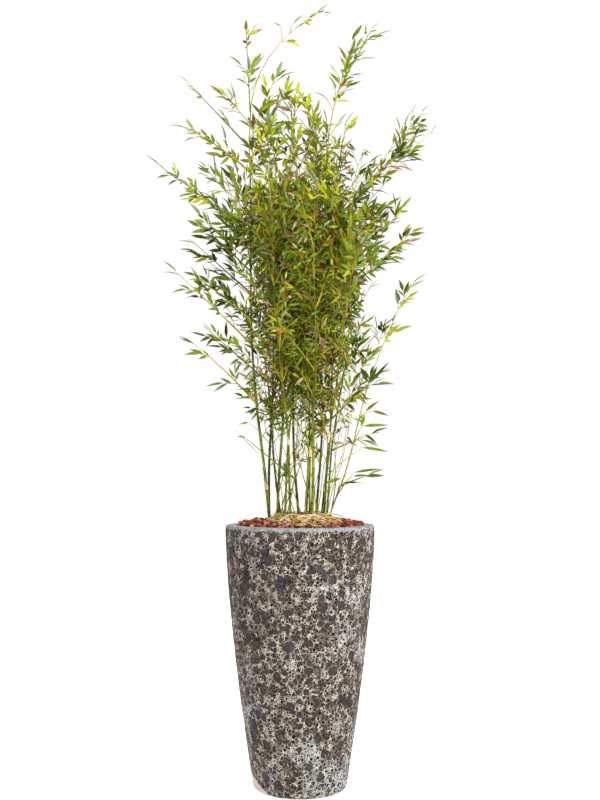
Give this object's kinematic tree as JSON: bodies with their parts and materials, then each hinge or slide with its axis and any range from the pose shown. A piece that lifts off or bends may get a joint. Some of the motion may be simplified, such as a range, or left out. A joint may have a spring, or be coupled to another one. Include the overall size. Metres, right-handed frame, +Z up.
{
  "type": "potted bamboo",
  "caption": "Clump of slender bamboo canes with arching leafy sprays, standing on its root ball in a tall round tapering pot with a cratered glaze.",
  "frame": {"origin": "centre of the pot's flat underside", "axes": "+Z up the plant, -Y towards the front, +X to the right seen from the front"},
  "size_m": [0.7611, 0.581, 1.9785],
  "materials": {
    "glazed_pot": "matt dark taupe glaze with cream craters, smooth grey rim",
    "root_ball": "packed potting soil under straw and dead leaves",
    "lava_rock": "rough red-brown lava gravel",
    "cane": "smooth olive green, darker at the nodes",
    "foliage": "satin green leaves on thin yellow-green twigs"
  },
  "bodies": {
    "root": {"pot": "glazed_pot", "root_ball": "root_ball", "lava_rock": "lava_rock", "cane_back_left": "cane", "cane_front": "cane", "cane_front_left": "cane", "cane_left": "cane", "cane_left_inner": "cane", "cane_middle_back": "cane", "cane_middle_back_left": "cane", "cane_middle_left": "cane", "cane_right": "cane", "cane_right_back": "cane", "cane_right_front": "cane", "cane_right_inner": "cane", "cane_right_outer": "cane", "cane_tall_left": "cane", "cane_tall_right": "cane", "tip_back_left": "foliage", "tip_front": "foliage", "tip_front_left": "foliage", "tip_left": "foliage", "tip_left_inner": "foliage", "tip_middle_back": "foliage", "tip_middle_back_left": "foliage", "tip_middle_left": "foliage", "tip_right": "foliage", "tip_right_back": "foliage", "tip_right_front": "foliage", "tip_right_inner": "foliage", "tip_right_outer": "foliage", "tip_tall_left": "foliage", "tip_tall_right": "foliage", "spray_inner_1": "foliage", "spray_inner_2": "foliage", "spray_inner_3": "foliage", "spray_inner_4": "foliage", "spray_inner_5": "foliage", "spray_inner_6": "foliage", "spray_inner_7": "foliage", "spray_inner_8": "foliage", "spray_inner_9": "foliage", "spray_left_back_high": "foliage", "spray_left_crest": "foliage", "spray_left_drooping": "foliage", "spray_left_high": "foliage", "spray_left_long": "foliage", "spray_left_low": "foliage", "spray_left_lowest": "foliage", "spray_left_middle": "foliage", "spray_left_reaching": "foliage", "spray_left_thin": "foliage", "spray_right_crest": "foliage", "spray_right_long": "foliage", "spray_right_low": "foliage", "spray_right_lower": "foliage", "spray_right_lowest": "foliage", "spray_right_middle": "foliage", "spray_right_steep": "foliage"}
  },
  "joints": []
}
